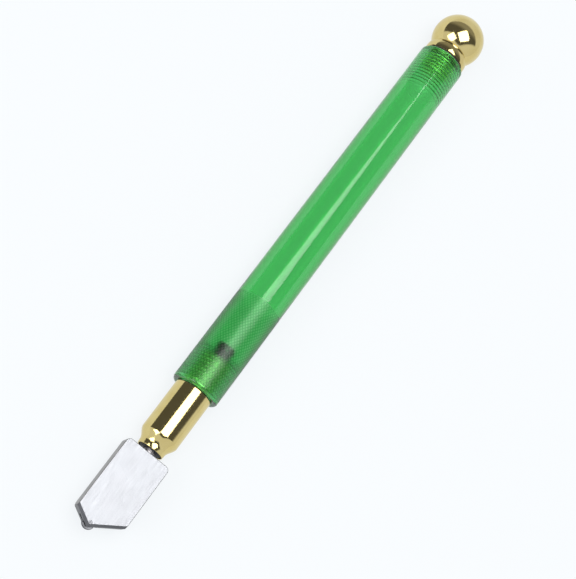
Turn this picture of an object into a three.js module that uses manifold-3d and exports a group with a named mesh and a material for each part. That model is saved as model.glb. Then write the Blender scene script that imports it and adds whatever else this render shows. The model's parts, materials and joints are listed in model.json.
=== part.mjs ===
// Oil-fed pencil-grip glass cutter with a ball end, lying on a table. Millimetres, +Z up.
//
// Everything is built along the tool's own axis, which is X here: the cutting wheel's edge is at
// x = 0 and the ball cap at the far end. The wide faces of the cutting head look along +Z and -Z.
// The finished tool is then laid down, so that it rests on its ball and on the barrel's front edge.
import * as THREE from "three";
import { mergeVertices } from "three/addons/utils/BufferGeometryUtils.js";
import Module from "manifold-3d";

const wasm = await Module();
wasm.setup();

// ---- Driving dimensions -------------------------------------------------------------------

// Barrel: the clear acrylic tube that holds the oil
const BARREL_R = 6.5;
const BARREL_LENGTH = 116.1;
const RESERVOIR_R = 4.0;
const THREAD_ROOT_R = 4.5; // internal threads at both ends, M9 x 1
const THREAD_GAP = 0.2; // radial room between a plain threaded spigot and the thread's root
const FRONT_THREAD_DEPTH = 11.6;
const CAP_THREAD_DEPTH = 13.3;
const BARREL_ROUND = 0.7;

// Cutting head: a flat plate with an off-centre point
const HEAD_WIDTH = 12.84;
const HEAD_THICKNESS = 4.4;
const HEAD_LENGTH = 23.12;
const HEAD_CORNER_R = 1.2;
const TIP_OFFSET = 1.4;
const NEAR_SLOPE = THREE.MathUtils.degToRad(61.5); // from the tool axis, on the point's own side
const FAR_SLOPE = THREE.MathUtils.degToRad(56.5);
const SLOPE_CHAMFER = 0.65; // along the edges of both slopes
const OIL_DUCT_R = 0.6;
const WICK_PLAY = 0.15;
const WICK_REACH = 4; // past the retaining screw

// Cutting wheel, in its slot at the point
const WHEEL_R = 1.75;
const WHEEL_WIDTH = 1.0;
const WHEEL_SETBACK = 1.22; // from the head's point back to the wheel's centre
const SLOT_WIDTH = 1.3;
const SLOT_R = 3.0;
const RIM_HALF_ANGLE = THREE.MathUtils.degToRad(70); // of the sharp rim
const AXLE_R = 0.35;
const AXLE_FIT = 0.04;
const AXLE_INSET = 0.1; // below both faces of the head

// Stem: fixed in the head, it swivels and slides in the ferrule
const STEM_R = 1.5;
const STEM_BORE_PLAY = 0.1; // radial, in the ferrule
const STEM_SOCKET_DEPTH = 7.1;
const PRESS_TRAVEL = 0.8;
const SWIVEL_LIMIT = THREE.MathUtils.degToRad(12);
const STEM_SLOT_WIDTH = 0.7; // across the stem's rear end, for the oil
const STEM_SLOT_DEPTH = 0.8;
const POCKET_FLOOR = 0.8; // from the tool axis, where the retaining screw's tip stands
const POCKET_PLAY = 0.1;
const HEAD_GAP = 0.9; // between head and ferrule when the head isn't pressed

// Ferrule: brass, screwed into the barrel's front
const NOSE_R = 3.6;
const NOSE_LAND_R = 3.72;
const NOSE_LAND_LENGTH = 1.0;
const NOSE_EDGE = 0.12;
const FLARE_END = 4.1; // from the nose to the full diameter
const FLARE_SHARE = 0.93; // of an S-curve, so the flare ends in a faint crease
const FLARE_STEPS = 6;
const FERRULE_R = 5.12;
const FERRULE_LENGTH = 18.28;
const SPIGOT_LENGTH = 10.12;
const SPIGOT_CHAMFER = 0.4;
const CHAMBER_R = 3.2;
const CHAMBER_DEPTH = 9.4;
const SEAL_RECESS_R = 3.35;
const SEAL_RECESS_DEPTH = 1.55;
const SCREW_R = 1.2;
const SCREW_TIP_R = 0.7;
const SCREW_STATION = 9.6; // from the nose to the retaining screw
const SCREW_SINK = 0.27; // below the ferrule's surface
const SCREW_SHOULDER = 2.2; // from the tool axis
const SCREW_TIP_GAP = 0.25; // between the screw's tip and the pocket's floor
const SCREW_HEXAGON_R = 0.72;
const SCREW_HEXAGON_DEPTH = 1.1;

// Oil valve in the ferrule's chamber: the spring presses a plunger against a rubber seat
const VALVE_SEAT_LENGTH = 1.0;
const VALVE_SEAT_HOLE_R = 1.2;
const VALVE_PIN_R = 0.9;
const VALVE_PIN_REACH = 1.8; // from the stem's end to the chamber
const VALVE_CONE_LENGTH = 1.05;
const VALVE_FLANGE_R = 2.6;
const VALVE_FLANGE_LENGTH = 0.7;
const VALVE_GUIDE_R = 1.2;
const VALVE_GUIDE_LENGTH = 1.4;
const SPRING_WIRE_R = 0.2;
const SPRING_R = 1.9;
const SPRING_TURNS = 5;
const VALVE_CAP_THREAD_LENGTH = 1.85;
const VALVE_CAP_HOLE_R = 0.75;
const VALVE_KNOB_R = 2.6;
const VALVE_KNOB_LENGTH = 4.2;
const VALVE_KNOB_ROUND = 0.5;

// Ball cap
const BALL_R = 7.2;
const FLANGE_R = 6.06;
const FLANGE_LENGTH = 2.3;
const WAIST_R = 5.2;
const BALL_STATION = 7.82; // from the flange's face to the ball's centre
const STUD_LENGTH = 6.4;

// Clearances
const FIT = 0.05; // between pieces that touch
const SEAL_SEAT = 0.22; // the ferrule's seal lies between its shoulder and the barrel
const CAP_SEAL_SEAT = 0.68;
const SEAL_FIT = 0.04; // where a seal is squeezed
const SEAL_EDGE = 0.15; // chamfer of the thick seals' rims
const VALVE_SEAT_EDGE = 0.1;
const FERRULE_SEAL_EDGE = 0.03;
const CAP_SEAL_INSET = 0.06; // below the rim of the piece beside it
const FERRULE_SEAL_INSET = 0.12;

// Sides of the round pieces. The barrel and the ball have few, so that the tool lies on facets
// wide enough not to roll.
const RESTING_SIDES = 24;
const SIDES = 36;
const SMALL_SIDES = 24;
const BALL_STEP = THREE.MathUtils.degToRad(9); // along the ball's outline

// ---- Stations along the tool axis ---------------------------------------------------------

const wheelX = WHEEL_R;
const tipX = wheelX - WHEEL_SETBACK;
const headEndX = tipX + HEAD_LENGTH;
const noseX = headEndX + HEAD_GAP;
const shoulderX = noseX + FERRULE_LENGTH;
const barrelX = shoulderX + SEAL_SEAT;
const barrelEndX = barrelX + BARREL_LENGTH;
const flangeX = barrelEndX + CAP_SEAL_SEAT;
const ballX = flangeX + BALL_STATION;
const screwX = noseX + SCREW_STATION;
const spigotEndX = shoulderX + SPIGOT_LENGTH;
const chamberX = spigotEndX - CHAMBER_DEPTH;
const stemEndX = chamberX - VALVE_PIN_REACH;
const seatEndX = chamberX + FIT + VALVE_SEAT_LENGTH;
const valveFlangeX = seatEndX + VALVE_CONE_LENGTH;
const valveFlangeEndX = valveFlangeX + VALVE_FLANGE_LENGTH;
const valveCapX = spigotEndX - VALVE_CAP_THREAD_LENGTH;

// ---- Helpers ------------------------------------------------------------------------------

// An outline of [x, r] points turned about the tool axis. Outer surfaces run towards +X and
// bores back towards -X. An outline that doesn't start on the axis is closed on itself.
function turned(outline, sides = SIDES) {
  const points = outline.map(([x, r]) => new THREE.Vector2(r, x));
  if (outline[0][1] > 0) points.push(points[0].clone());
  return new THREE.LatheGeometry(points, sides, Math.PI / sides).rotateZ(-Math.PI / 2);
}

// The same about the Z axis, for outlines of [z, r] points
function turnedAboutZ(outline, sides = SMALL_SIDES) {
  return turned(outline, sides).rotateY(-Math.PI / 2);
}

function rod(x0, x1, r, sides = SMALL_SIDES) {
  return turned([[x0, 0], [x0, r], [x1, r], [x1, 0]], sides);
}

function upright(z0, z1, r, sides = SMALL_SIDES) {
  return turnedAboutZ([[z0, 0], [z0, r], [z1, r], [z1, 0]], sides);
}

function block(x, y, z) {
  const size = [x, y, z].map(([low, high]) => high - low);
  const middle = [x, y, z].map(([low, high]) => (low + high) / 2);
  return new THREE.BoxGeometry(...size).translate(...middle);
}

// Points of a circular arc in an outline, about the centre [x, r]
function arc([x, r], radius, fromAngle, toAngle, steps) {
  return Array.from({ length: steps + 1 }, (_, i) => {
    const angle = fromAngle + ((toAngle - fromAngle) * i) / steps;
    return [x + radius * Math.cos(angle), r + radius * Math.sin(angle)];
  });
}

// Only positions, with shared corners merged and triangles without area dropped
function welded(geometry) {
  const bare = geometry.clone();
  bare.deleteAttribute("normal");
  bare.deleteAttribute("uv");
  const merged = mergeVertices(bare, 1e-5);
  const index = [];
  for (let i = 0; i < merged.index.count; i += 3) {
    const [a, b, c] = [0, 1, 2].map((k) => merged.index.getX(i + k));
    if (a !== b && b !== c && c !== a) index.push(a, b, c);
  }
  merged.setIndex(index);
  return merged;
}

function asSolid(geometry) {
  const g = welded(geometry);
  const vertProperties = Float32Array.from(g.attributes.position.array);
  const triVerts = Uint32Array.from(g.index.array);
  return new wasm.Manifold(new wasm.Mesh({ numProp: 3, vertProperties, triVerts }));
}

function asGeometry(solid) {
  const { vertProperties, triVerts } = solid.getMesh();
  const g = new THREE.BufferGeometry();
  g.setAttribute("position", new THREE.BufferAttribute(vertProperties, 3));
  g.setIndex(new THREE.BufferAttribute(triVerts, 1));
  return g;
}

function cut(base, tools) {
  return asGeometry(tools.reduce((left, tool) => left.subtract(asSolid(tool)), asSolid(base)));
}

const tool = new THREE.Group();

function add(name, geometry, material) {
  const mesh = new THREE.Mesh(geometry, material);
  mesh.name = name;
  tool.add(mesh);
}

// ---- Materials ----------------------------------------------------------------------------

const finish = (color, roughness, metalness) =>
  new THREE.MeshStandardMaterial({ color, roughness, metalness });
const greenAcrylic = new THREE.MeshStandardMaterial({
  color: 0x3fb558,
  roughness: 0.12,
  metalness: 0,
  transparent: true,
  opacity: 0.7,
});
const brass = finish(0xd2be7c, 0.12, 1);
const chromedSteel = finish(0xe6e9ee, 0.08, 1);
const plainSteel = finish(0xa9abb0, 0.3, 1);
const hardSteel = finish(0x8f949b, 0.2, 1);
const blackRubber = finish(0x1b1c1b, 0.7, 0);
const blackNylon = finish(0x151716, 0.45, 0);
const whiteFelt = finish(0xe9e4d4, 0.95, 0);

// ---- Barrel -------------------------------------------------------------------------------

function barrel() {
  const threadRunout = THREAD_ROOT_R - RESERVOIR_R;
  const frontThreadX = barrelX + FRONT_THREAD_DEPTH;
  const capThreadX = barrelEndX - CAP_THREAD_DEPTH;
  const roundR = BARREL_R - BARREL_ROUND;
  return turned([
    [barrelX, THREAD_ROOT_R],
    ...arc([barrelX + BARREL_ROUND, roundR], BARREL_ROUND, Math.PI, Math.PI / 2, 3),
    ...arc([barrelEndX - BARREL_ROUND / 2, BARREL_R - BARREL_ROUND / 2], BARREL_ROUND / 2,
      Math.PI / 2, 0, 2),
    [barrelEndX, THREAD_ROOT_R],
    [capThreadX, THREAD_ROOT_R],
    [capThreadX - threadRunout, RESERVOIR_R],
    [frontThreadX + threadRunout, RESERVOIR_R],
    [frontThreadX, THREAD_ROOT_R],
  ], RESTING_SIDES);
}

// ---- Ball cap and its seal ----------------------------------------------------------------

function ballCap() {
  const studR = THREAD_ROOT_R - THREAD_GAP;
  const studX = flangeX - STUD_LENGTH;
  const chamfer = 0.4;
  const edge = 0.2;
  const flangeEndX = flangeX + FLANGE_LENGTH;
  const ballStart = Math.PI - Math.asin(WAIST_R / BALL_R);
  const quarter = Math.PI / 2;
  return turned([
    [studX, 0],
    [studX, studR - chamfer],
    [studX + chamfer, studR],
    [flangeX, studR],
    [flangeX, FLANGE_R - edge],
    [flangeX + edge, FLANGE_R],
    [flangeEndX - edge, FLANGE_R],
    [flangeEndX, FLANGE_R - edge],
    ...arc([ballX, 0], BALL_R, ballStart, quarter, Math.ceil((ballStart - quarter) / BALL_STEP)),
    ...arc([ballX, 0], BALL_R, quarter, 0, Math.round(quarter / BALL_STEP)).slice(1),
  ], RESTING_SIDES);
}

// A flat ring with chamfered rims
function ring(x0, x1, innerR, outerR, edge, sides = SIDES) {
  return turned([
    [x0, innerR + edge],
    [x0, outerR - edge],
    [x0 + edge, outerR],
    [x1 - edge, outerR],
    [x1, outerR - edge],
    [x1, innerR + edge],
    [x1 - edge, innerR],
    [x0 + edge, innerR],
  ], sides);
}

// ---- Ferrule ------------------------------------------------------------------------------

function ferrule() {
  const spigotR = THREAD_ROOT_R - THREAD_GAP / 2;
  const stemBoreR = STEM_R + STEM_BORE_PLAY;
  // the flare leaves the nose gently, steepens, and turns back towards the full diameter
  const ease = (t) => t * t * (3 - 2 * t);
  const flare = Array.from({ length: FLARE_STEPS }, (_, i) => {
    const t = (i + 1) / FLARE_STEPS;
    const x = THREE.MathUtils.lerp(NOSE_LAND_LENGTH, FLARE_END, t);
    const rise = ease(t * FLARE_SHARE) / ease(FLARE_SHARE);
    return [noseX + x, THREE.MathUtils.lerp(NOSE_LAND_R, FERRULE_R, rise)];
  });
  const body = turned([
    [noseX, SEAL_RECESS_R],
    [noseX, NOSE_R - NOSE_EDGE],
    [noseX + NOSE_EDGE, NOSE_R],
    [noseX + NOSE_LAND_LENGTH, NOSE_LAND_R],
    ...flare,
    [shoulderX, FERRULE_R],
    [shoulderX, spigotR],
    [spigotEndX - SPIGOT_CHAMFER, spigotR],
    [spigotEndX, spigotR - SPIGOT_CHAMFER],
    [spigotEndX, CHAMBER_R],
    [chamberX, CHAMBER_R],
    [chamberX, stemBoreR],
    [noseX + SEAL_RECESS_DEPTH, stemBoreR],
    [noseX + SEAL_RECESS_DEPTH, SEAL_RECESS_R],
  ]);
  const screwHole = upright(-FERRULE_R - 1, -1, SCREW_R + FIT).translate(screwX, 0, 0);
  return cut(body, [screwHole]);
}

// Headless screw whose tip stands in the stem's pocket, which keeps the head from falling out
function retainingScrew() {
  const outerZ = SCREW_SINK - FERRULE_R;
  const bodyEndZ = -SCREW_SHOULDER;
  const tipZ = -POCKET_FLOOR - SCREW_TIP_GAP;
  const body = turnedAboutZ([
    [outerZ, 0],
    [outerZ, SCREW_R],
    [bodyEndZ, SCREW_R],
    [bodyEndZ, SCREW_TIP_R],
    [tipZ, SCREW_TIP_R],
    [tipZ, 0],
  ]);
  const hexagon = upright(outerZ - 1, outerZ + SCREW_HEXAGON_DEPTH, SCREW_HEXAGON_R, 6);
  return cut(body, [hexagon]).translate(screwX, 0, 0);
}

// ---- Oil valve ------------------------------------------------------------------------------

function valvePlunger() {
  // the cone widens at 45 degrees from the pin, and its gap to the seat's rim is FIT
  const coneStartX = seatEndX + FIT + VALVE_PIN_R - VALVE_SEAT_HOLE_R;
  const coneEndR = VALVE_PIN_R + valveFlangeX - coneStartX;
  const guideEndX = valveFlangeEndX + VALVE_GUIDE_LENGTH;
  return turned([
    [stemEndX + FIT, 0],
    [stemEndX + FIT, VALVE_PIN_R],
    [coneStartX, VALVE_PIN_R],
    [valveFlangeX, coneEndR],
    [valveFlangeX, VALVE_FLANGE_R],
    [valveFlangeEndX, VALVE_FLANGE_R],
    [valveFlangeEndX, VALVE_GUIDE_R],
    [guideEndX, VALVE_GUIDE_R],
    [guideEndX, 0],
  ], SMALL_SIDES);
}

function valveSpring() {
  const stepsPerTurn = 12;
  const startX = valveFlangeEndX + FIT + SPRING_WIRE_R;
  const endX = valveCapX - FIT - SPRING_WIRE_R;
  class Coil extends THREE.Curve {
    getPoint(t, target = new THREE.Vector3()) {
      const angle = t * SPRING_TURNS * 2 * Math.PI;
      const x = THREE.MathUtils.lerp(startX, endX, t);
      return target.set(x, SPRING_R * Math.cos(angle), SPRING_R * Math.sin(angle));
    }
  }
  const wire = new THREE.Shape().absarc(0, 0, SPRING_WIRE_R, 0, 2 * Math.PI);
  const extrudePath = new Coil();
  const steps = SPRING_TURNS * stepsPerTurn;
  return new THREE.ExtrudeGeometry(wire, { extrudePath, steps, curveSegments: 4 });
}

function valveCap() {
  const threadR = CHAMBER_R - FIT;
  const knobEndX = spigotEndX + VALVE_KNOB_LENGTH;
  const roundCentre = [knobEndX - VALVE_KNOB_ROUND, VALVE_KNOB_R - VALVE_KNOB_ROUND];
  return turned([
    [valveCapX, VALVE_CAP_HOLE_R],
    [valveCapX, threadR],
    [spigotEndX, threadR],
    [spigotEndX, VALVE_KNOB_R],
    ...arc(roundCentre, VALVE_KNOB_ROUND, Math.PI / 2, 0, 2),
    [knobEndX, VALVE_CAP_HOLE_R],
  ]);
}

// ---- Head, stem, wick, wheel and axle -------------------------------------------------------

function headOutline() {
  const half = HEAD_WIDTH / 2;
  const outline = new THREE.Shape();
  outline.moveTo(tipX, TIP_OFFSET);
  outline.lineTo(tipX + (half + TIP_OFFSET) / Math.tan(FAR_SLOPE), -half);
  outline.lineTo(headEndX - HEAD_CORNER_R, -half);
  outline.absarc(headEndX - HEAD_CORNER_R, HEAD_CORNER_R - half, HEAD_CORNER_R, -Math.PI / 2, 0);
  outline.absarc(headEndX - HEAD_CORNER_R, half - HEAD_CORNER_R, HEAD_CORNER_R, 0, Math.PI / 2);
  outline.lineTo(tipX + (half - TIP_OFFSET) / Math.tan(NEAR_SLOPE), half);
  outline.closePath();
  return outline;
}

// Square bars that stand on edge along the edges of both slopes
function slopeChamfers() {
  const side = SLOPE_CHAMFER * Math.SQRT2;
  const bar = (angle, z) => new THREE.BoxGeometry(2 * HEAD_LENGTH, side, side)
    .rotateX(Math.PI / 4)
    .rotateZ(angle)
    .translate(tipX, TIP_OFFSET, z);
  const faces = [-HEAD_THICKNESS / 2, HEAD_THICKNESS / 2];
  return [NEAR_SLOPE, -FAR_SLOPE].flatMap((angle) => faces.map((z) => bar(angle, z)));
}

function headBody() {
  const options = { depth: HEAD_THICKNESS, bevelEnabled: false, curveSegments: 6 };
  const plate = new THREE.ExtrudeGeometry(headOutline(), options).translate(0, 0, -HEAD_THICKNESS / 2);
  const slot = upright(-SLOT_WIDTH / 2, SLOT_WIDTH / 2, SLOT_R).translate(wheelX, TIP_OFFSET, 0);
  const axleHole = upright(-HEAD_THICKNESS, HEAD_THICKNESS, AXLE_R + AXLE_FIT);
  const socketX = headEndX - STEM_SOCKET_DEPTH;
  return cut(plate, [
    ...slopeChamfers(),
    slot,
    axleHole.translate(wheelX, TIP_OFFSET, 0),
    rod(socketX, headEndX + 1, STEM_R + FIT),
    rod(wheelX + 1, socketX + 1, OIL_DUCT_R),
  ]);
}

function headStem() {
  const startX = headEndX - STEM_SOCKET_DEPTH + FIT;
  const reach = SCREW_TIP_R + POCKET_PLAY;
  const swing = STEM_R * Math.sin(SWIVEL_LIMIT) + reach;
  const pocket = block(
    [screwX - reach - PRESS_TRAVEL, screwX + reach],
    [-swing, swing],
    [-STEM_R - 1, -POCKET_FLOOR],
  );
  const oilSlot = block(
    [stemEndX - STEM_SLOT_DEPTH, stemEndX + 1],
    [-STEM_R - 1, STEM_R + 1],
    [-STEM_SLOT_WIDTH / 2, STEM_SLOT_WIDTH / 2],
  );
  return cut(rod(startX, stemEndX, STEM_R), [rod(startX - 1, stemEndX + 1, OIL_DUCT_R), pocket, oilSlot]);
}

// Hardened wheel with a sharp rim between two flat sides
function cuttingWheel() {
  const half = WHEEL_WIDTH / 2;
  const rimDepth = half / Math.tan(RIM_HALF_ANGLE);
  const boreR = AXLE_R + FIT;
  return turnedAboutZ([
    [-half, boreR],
    [-half, WHEEL_R - rimDepth],
    [0, WHEEL_R],
    [half, WHEEL_R - rimDepth],
    [half, boreR],
  ]).translate(wheelX, TIP_OFFSET, 0);
}

// ---- Assembly -------------------------------------------------------------------------------

add("barrel", barrel(), greenAcrylic);
add("ball_cap", ballCap(), brass);
add("cap_seal", ring(barrelEndX + SEAL_FIT, flangeX - SEAL_FIT, THREAD_ROOT_R - FIT,
  FLANGE_R - CAP_SEAL_INSET, SEAL_EDGE), blackRubber);
add("ferrule", ferrule(), brass);
add("ferrule_seal", ring(shoulderX + FIT, barrelX - FIT, THREAD_ROOT_R,
  FERRULE_R - FERRULE_SEAL_INSET, FERRULE_SEAL_EDGE), blackRubber);
add("stem_seal", ring(noseX + FIT, noseX + SEAL_RECESS_DEPTH - FIT, STEM_R + SEAL_FIT,
  SEAL_RECESS_R - FIT, SEAL_EDGE), blackRubber);
add("retaining_screw", retainingScrew(), hardSteel);
add("valve_seat", ring(chamberX + FIT, seatEndX, VALVE_SEAT_HOLE_R, CHAMBER_R - FIT,
  VALVE_SEAT_EDGE, SMALL_SIDES), blackRubber);
add("valve_plunger", valvePlunger(), brass);
add("valve_spring", valveSpring(), plainSteel);
add("valve_cap", valveCap(), blackNylon);
add("head_body", headBody(), chromedSteel);
add("head_stem", headStem(), plainSteel);
add("oil_wick", rod(wheelX + SLOT_R, screwX + WICK_REACH, OIL_DUCT_R - WICK_PLAY, SMALL_SIDES),
  whiteFelt);
add("cutting_wheel", cuttingWheel(), hardSteel);
const axleEnd = HEAD_THICKNESS / 2 - AXLE_INSET;
add("wheel_axle", upright(-axleEnd, axleEnd, AXLE_R).translate(wheelX, TIP_OFFSET, 0), plainSteel);

// The tool lies on facets of its ball and of the barrel's front edge, so its axis rises to the
// ball.
const rise = (BALL_R - BARREL_R) * Math.cos(Math.PI / RESTING_SIDES);
const restTilt = Math.asin(rise / (ballX - barrelX - BARREL_ROUND));
tool.rotation.y = -restTilt;
tool.updateMatrixWorld(true);

// The part's origin is under the middle of the tool, on the table.
const box = new THREE.Box3().setFromObject(tool, true);
tool.position.set(-(box.min.x + box.max.x) / 2, -(box.min.y + box.max.y) / 2, -box.min.z);

const part = new THREE.Group();
part.add(tool);
export default part;
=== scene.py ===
import json
import math

import bmesh
import bpy
import numpy as np
from mathutils import Matrix, Vector


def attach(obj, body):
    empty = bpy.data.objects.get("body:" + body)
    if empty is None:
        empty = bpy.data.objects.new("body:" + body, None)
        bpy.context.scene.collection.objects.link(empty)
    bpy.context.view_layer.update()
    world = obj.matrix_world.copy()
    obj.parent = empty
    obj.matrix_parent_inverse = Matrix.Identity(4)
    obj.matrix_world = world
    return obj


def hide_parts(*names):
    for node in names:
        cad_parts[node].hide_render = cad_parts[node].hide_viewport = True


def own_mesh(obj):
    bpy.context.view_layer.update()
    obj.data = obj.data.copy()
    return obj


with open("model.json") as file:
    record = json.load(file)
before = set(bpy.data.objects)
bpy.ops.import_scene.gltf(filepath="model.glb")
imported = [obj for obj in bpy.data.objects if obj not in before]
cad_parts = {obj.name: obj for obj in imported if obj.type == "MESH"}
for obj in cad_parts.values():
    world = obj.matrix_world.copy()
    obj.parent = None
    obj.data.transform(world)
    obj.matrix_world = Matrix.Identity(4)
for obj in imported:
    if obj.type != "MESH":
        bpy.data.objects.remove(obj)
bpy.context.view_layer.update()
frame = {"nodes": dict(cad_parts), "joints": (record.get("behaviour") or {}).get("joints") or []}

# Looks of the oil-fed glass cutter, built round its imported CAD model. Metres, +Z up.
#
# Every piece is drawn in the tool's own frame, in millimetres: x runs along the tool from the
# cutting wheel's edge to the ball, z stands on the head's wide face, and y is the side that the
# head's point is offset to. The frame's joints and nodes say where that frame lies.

MM = 0.001

# ---- The tool's frame ----------------------------------------------------------------------

joints = {j["name"]: j for j in frame["joints"]}
nodes = frame["nodes"]
AXIS = Vector(joints["cap_turn"]["axis"]).normalized()
UP = Vector(joints["wheel_spin"]["axis"]).normalized()
SIDE = UP.cross(AXIS)
AXIS_POINT = Vector(joints["cap_turn"]["pos_m"])
TURN = np.array([AXIS, SIDE, UP])


def node_points(node):
    return np.array([v.co for v in nodes[node].data.vertices], float)


ORIGIN = AXIS_POINT + AXIS * (
    float((node_points("cutting_wheel") @ TURN[0]).min()) - AXIS_POINT.dot(AXIS)
)


def span(node):
    """Lowest and highest x, y and z of a CAD node in the tool's frame, in millimetres"""
    local = (node_points(node) - np.array(ORIGIN)) @ TURN.T / MM
    return local.min(0), local.max(0)


def ends(node):
    low, high = span(node)
    return float(low[0]), float(high[0])


def to_row(points):
    """Points of the tool's frame, in millimetres, to the row frame, in metres"""
    return np.asarray(points, float) @ TURN * MM + np.array(ORIGIN)


def row_point(x, y, z):
    return Vector(to_row([(x, y, z)])[0])


BARREL, BARREL_END = ends("barrel")
CAD_SIDES = 24
BARREL_R = float(span("barrel")[1][2] / math.cos(math.pi / CAD_SIDES))
WHEEL_X = (ends("cutting_wheel")[0] + ends("cutting_wheel")[1]) / 2
WHEEL_Y = float(span("cutting_wheel")[0][1] + span("cutting_wheel")[1][1]) / 2
WHEEL_R = WHEEL_X - ends("cutting_wheel")[0]
HEAD, HEAD_END = ends("head_body")
HEAD_HALF_WIDTH = float(span("head_body")[1][1])
HEAD_HALF = float(span("head_body")[1][2])
NOSE, SPIGOT_END = ends("ferrule")
STUD, BALL_END = ends("ball_cap")

# ---- Sizes that the CAD nodes share, in millimetres ----------------------------------------

PITCH = 1.0
RESERVOIR_R = 4.0
THREAD_ROOT_R = 4.5
FRONT_THREAD = 11.6
CAP_THREAD = 13.3
THREAD_RUNOUT = 2.4
FRONT_CREST_R = 4.34
CAP_CREST_R = 4.28
FERRULE_R = 5.12
SHOULDER = BARREL - 0.22
NOSE_R = 3.6
LAND_R = 3.72
LAND_LENGTH = 1.0
FLARE_END = 4.1
FLARE_SHARE = 0.93
CHAMBER_R = 3.2
CHAMBER = SPIGOT_END - 9.4
STEM_R = 1.5
SEAL_R = 3.35
SEAL_DEPTH = 1.55
SCREW_X = NOSE + 9.6
SCREW_R = 1.2
BALL_R = 7.2
BALL_X = BALL_END - BALL_R
FLANGE = BARREL_END + 0.68
FLANGE_R = 6.06
FLANGE_LENGTH = 2.3
FLANGE_CROWN = 0.12
SLOT_HALF = 0.65
SLOT_R = 3.0
AXLE_R = 0.35
HEAD_CORNER_R = 1.2
NEAR_SLOPE = math.radians(61.5)
FAR_SLOPE = math.radians(56.5)
SLOPE_CHAMFER = 0.65

# Knurl of the grip: a groove is GROOVE_WIDTH of the pitch wide, and the mesh has GROOVE_CELLS
# cells for each pitch
GRIP_START = BARREL + 0.75
KNURL_PITCH = 1.18
GROOVES = 48
GROOVE_CELLS = 6
GROOVE_WIDTH = 0.6
KNURL_DEPTH = 0.045
KNURL_ROWS = 23 * GROOVE_CELLS
GRIP_END = GRIP_START + KNURL_PITCH * KNURL_ROWS / GROOVE_CELLS
GRIP_ROUGHNESS = 0.3

# Sides of the turned pieces
TURNED_SIDES = 120
SMALL_SIDES = 96
SCREW_SIDES = 48
PIN_SIDES = 32

# ---- Mesh building -------------------------------------------------------------------------

# An outline's stretch of over LONG_STRETCH gets a point STRETCH_END from each of its ends
LONG_STRETCH = 1.0
STRETCH_END = 0.04
WELD_DISTANCE_M = 1e-7


def supported(outline):
    """The outline with a point close to each end of its long stretches, which keeps the shading
    of a round or a crease from spreading along them"""
    points = [outline[0]]
    for a, b in zip(outline, outline[1:]):
        step = np.subtract(b, a)
        length = float(np.hypot(*step))
        if length > LONG_STRETCH:
            near = step * STRETCH_END / length
            points += [tuple(a + near), tuple(b - near)]
        points.append(b)
    return points


class Skin:
    """A surface of rings about the tool's axis, or about an upright axis through a centre"""

    def __init__(self, upright_at=None):
        self.points, self.faces, self.centre = [], [], upright_at

    def ring(self, x, r, sides):
        """A ring of points at station x. r is a radius or one for each point; 0 is one point."""
        start = len(self.points)
        if np.isscalar(r) and r == 0:
            sides = 1
        turn = 2 * math.pi * np.arange(sides) / sides
        x, r = np.broadcast_to(x, sides), np.broadcast_to(r, sides)
        self.points += [tuple(p) for p in np.stack([x, r * np.cos(turn), r * np.sin(turn)], 1)]
        return list(range(start, start + sides))

    def join(self, a, b, crossed=None):
        """Faces between two rings whose counts are equal, or one a multiple of the other.
        crossed is the row number of a grid whose cells are split along alternate diagonals."""
        n, m = len(a), len(b)
        if n < m:
            first = len(self.faces)
            self.join(b, a)
            self.faces[first:] = [face[::-1] for face in self.faces[first:]]
            return
        if m == 1:
            self.faces += [(a[j], a[(j + 1) % n], b[0]) for j in range(n) if n > 1]
            return
        if n == m:
            for j in range(n):
                k = (j + 1) % n
                if crossed is None:
                    self.faces.append((a[j], a[k], b[k], b[j]))
                elif (crossed + j) % 2:
                    self.faces += [(a[j], a[k], b[j]), (a[k], b[k], b[j])]
                else:
                    self.faces += [(a[j], a[k], b[k]), (a[j], b[k], b[j])]
            return
        step = n // m
        for j in range(m):
            k = (j + 1) % m
            for i in range(step):
                corner = b[j] if i < step // 2 else b[k]
                if i == step // 2:
                    self.faces.append((a[j * step + i], b[k], b[j]))
                self.faces.append((a[j * step + i], a[(j * step + i + 1) % n], corner))

    def turn(self, outline, sides, after=None):
        """Rings at the [x, r] of an outline, each joined to the one before; returns first, last"""
        first = None
        for x, r in supported(outline):
            ring = self.ring(float(x), float(r), sides)
            if after is not None:
                self.join(after, ring)
            after, first = ring, first or ring
        return first, after

    def thread(self, x0, x1, crest, root, sides, starts=8, runout=(0.5, 0.5), rest=None):
        """A helical thread from x0 to x1 (which may be lower), as rows that follow the helix.
        Over its lowest and highest runout it fades into the rest radii, the root's if not given.
        Returns its first and last ring."""
        low, high = min(x0, x1), max(x0, x1)
        rest = rest or (root, root)
        step = PITCH / starts
        rows = math.ceil((high - low + PITCH) / step) + 1
        turn = np.arange(sides) / sides
        grid = []
        for i in range(rows):
            x = np.clip(low - PITCH + i * step + PITCH * turn, low, high)
            wave = np.abs(2 * ((x / PITCH - turn) % 1.0) - 1)
            height = np.clip((wave - 0.2) / 0.6, 0, 1)
            r = root + (crest - root) * height
            r = rest[0] + (r - rest[0]) * np.clip((x - low) / runout[0], 0, 1)
            r = rest[1] + (r - rest[1]) * np.clip((high - x) / runout[1], 0, 1)
            grid.append(self.ring(x, r, sides))
        for i in range(rows - 1):
            for j in range(sides):
                k, up = (j + 1) % sides, starts if j + 1 == sides else 0
                a, b = grid[i][j], grid[min(i + up, rows - 1)][k]
                c, d = grid[min(i + 1 + up, rows - 1)][k], grid[i + 1][j]
                self.faces.append((a, b, c, d) if x1 > x0 else (d, c, b, a))
        return (grid[0], grid[-1]) if x1 > x0 else (grid[-1], grid[0])

    def placed(self):
        points = np.array(self.points)
        if self.centre is not None:
            points = points[:, [1, 2, 0]] + np.array([*self.centre, 0.0])
        return points


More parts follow.
